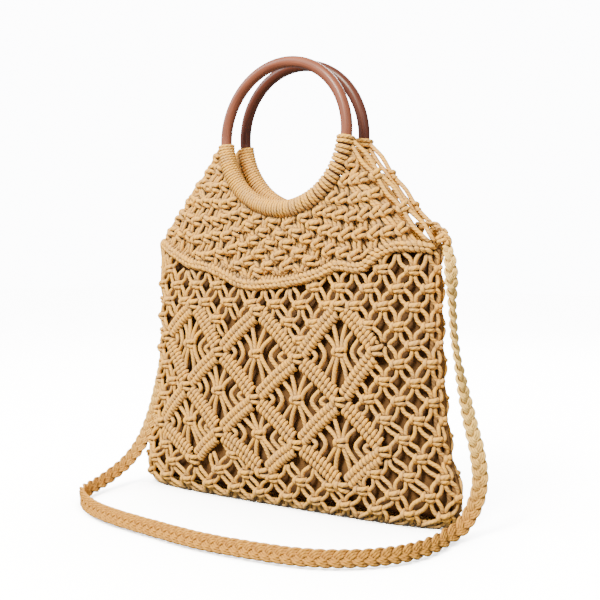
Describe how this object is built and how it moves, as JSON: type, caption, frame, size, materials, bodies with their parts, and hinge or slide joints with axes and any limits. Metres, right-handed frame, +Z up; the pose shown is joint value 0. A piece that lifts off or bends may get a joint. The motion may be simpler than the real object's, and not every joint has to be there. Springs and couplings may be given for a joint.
{
  "type": "macrame shoulder bag",
  "caption": "Knotted cord shoulder bag with round wooden ring handles, a diamond lattice body, a cloth lining and a braided shoulder strap.",
  "frame": {"origin": "middle of the bag's base, on the surface it stands on", "axes": "+Z up, +X to the bag's right as seen from the front, front face towards -Y"},
  "size_m": [0.3998, 0.216, 0.4294],
  "materials": {
    "wood": "reddish brown varnish",
    "cord": "matt cotton cord",
    "lining": "smooth taupe cloth",
    "strap": "braided cotton cord"
  },
  "bodies": {
    "root": {"front_ring": "wood", "back_ring": "wood", "front_ring_wrap": "cord", "back_ring_wrap": "cord", "front_yoke": "cord", "back_yoke": "cord", "front_wave_cord": "cord", "back_wave_cord": "cord", "front_net": "cord", "back_net": "cord", "base_net": "cord", "lining_pouch": "lining", "right_shoulder_knot": "cord", "left_shoulder_knot": "cord", "shoulder_strap": "strap"}
  },
  "joints": []
}
